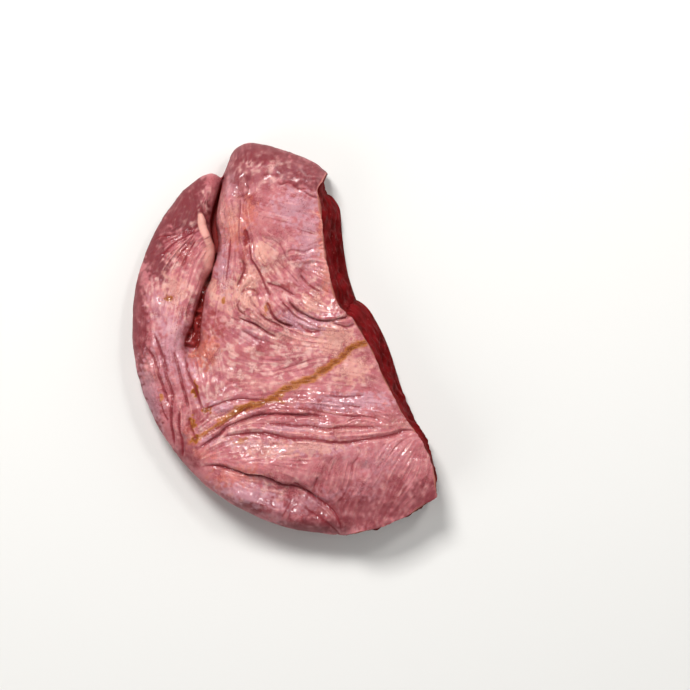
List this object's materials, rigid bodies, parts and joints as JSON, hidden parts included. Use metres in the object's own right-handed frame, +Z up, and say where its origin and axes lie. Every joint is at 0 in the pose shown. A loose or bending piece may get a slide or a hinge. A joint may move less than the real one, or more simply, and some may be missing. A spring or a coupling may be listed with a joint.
{
  "type": "raw beef spleen slab",
  "caption": "Raw beef spleen slab with a tall rounded lobe, a lower lobe beside a deep slit, a round natural margin and a long slanted cut face, lying flat.",
  "frame": {"origin": "the middle of the bounding box in plan, on the flat underside", "axes": "+Z up out of the membrane side, +Y along the slab towards the tall rounded lobe, +X towards the long cut"},
  "size_m": [0.1454, 0.1876, 0.031],
  "materials": {
    "spleen_slab": "wet raw meat: glossy mauve and pink membrane, dark red pulp on the cuts"
  },
  "bodies": {
    "root": {"spleen_slab": "spleen_slab"}
  },
  "joints": []
}
